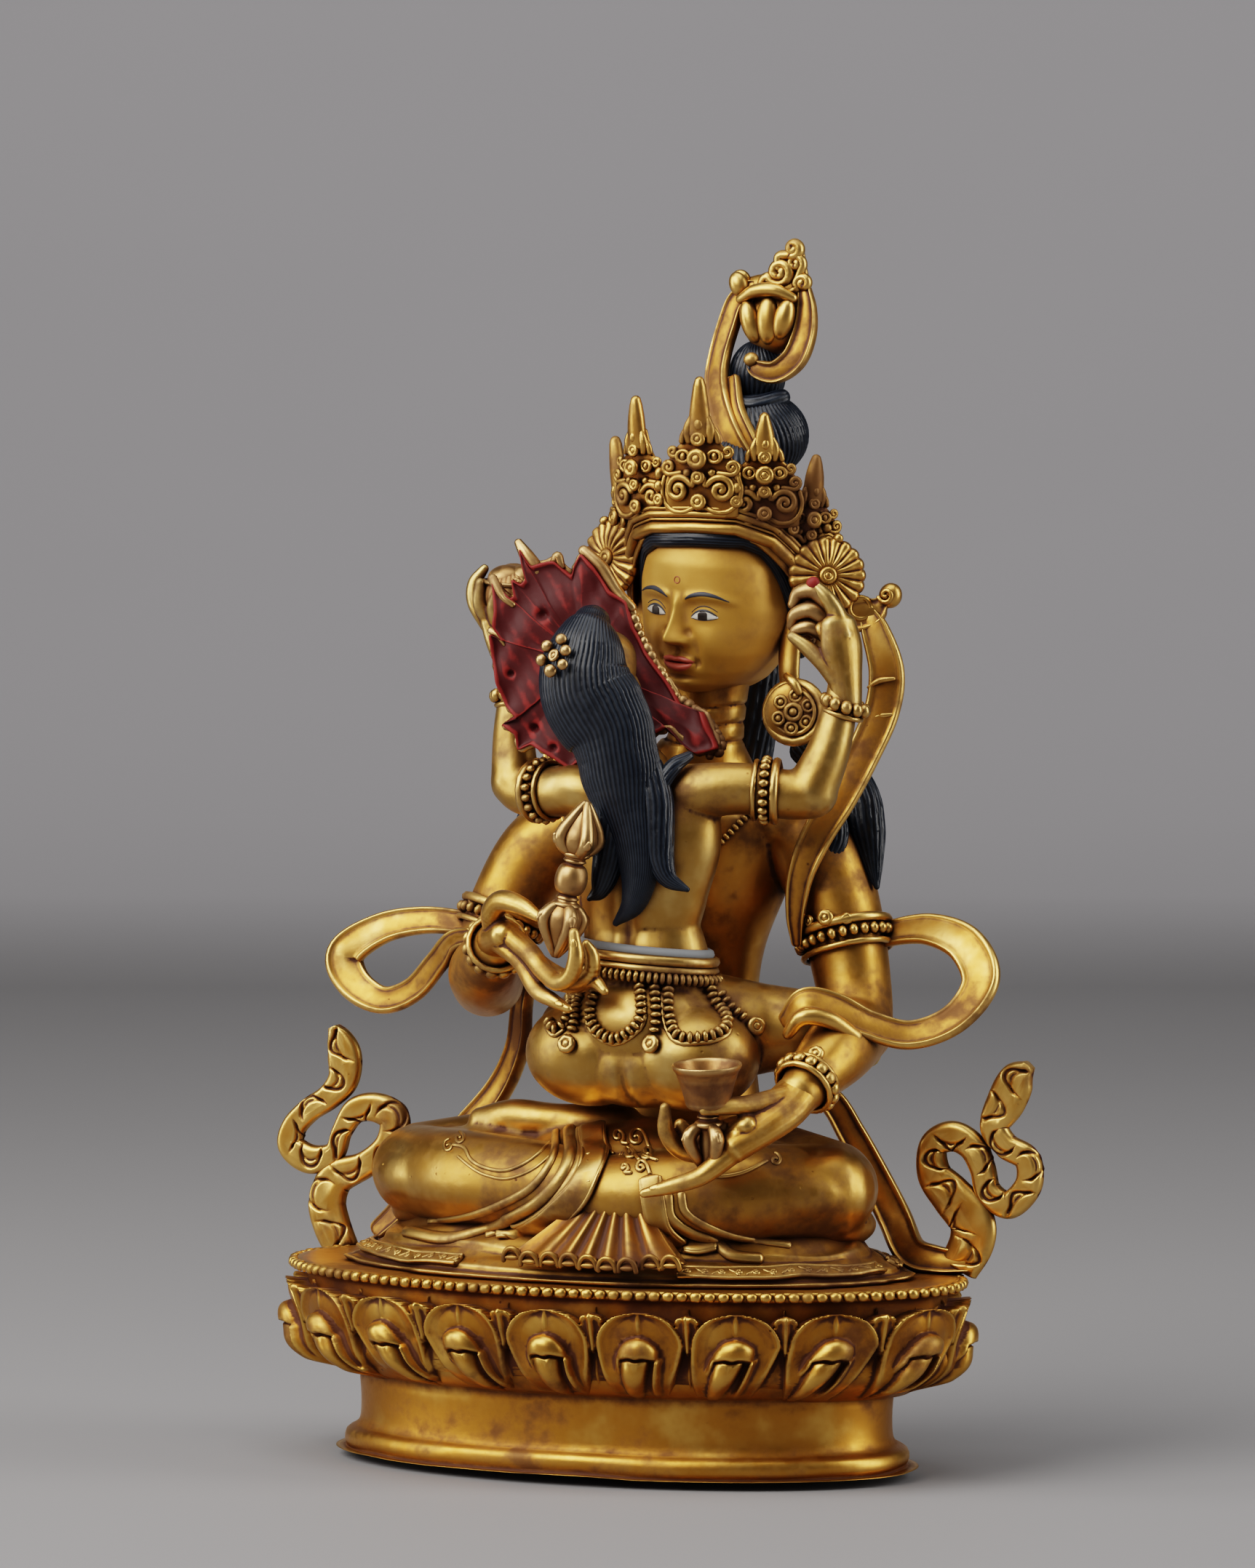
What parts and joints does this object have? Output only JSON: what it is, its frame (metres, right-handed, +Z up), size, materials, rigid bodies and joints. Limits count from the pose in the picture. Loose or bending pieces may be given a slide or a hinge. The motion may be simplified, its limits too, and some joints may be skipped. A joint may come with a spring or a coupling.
{
  "type": "vajrasattva statue",
  "caption": "Gilded metal statue of a crowned seated deity embraced by his consort, seen from her back, on an oval lotus pedestal.",
  "frame": {"origin": "centre of the pedestal's flat underside", "axes": "+Z up, the figure faces -Y, +X is the figure's left side"},
  "size_m": [0.151, 0.0752, 0.2178],
  "materials": {
    "lotus_pedestal": "worn fire gilding on cast copper, orange-brown in the recesses",
    "vajrasattva": "worn fire gilding on cast copper, with painted face and hair",
    "consort": "pale worn gilding on cast copper, with painted hair and crown back",
    "vajra": "worn gilding with dark recesses",
    "bell": "worn gilding with dark recesses"
  },
  "bodies": {
    "root": {"lotus_pedestal": "lotus_pedestal", "vajrasattva": "vajrasattva", "consort": "consort", "vajra": "vajra", "bell": "bell"}
  },
  "joints": []
}
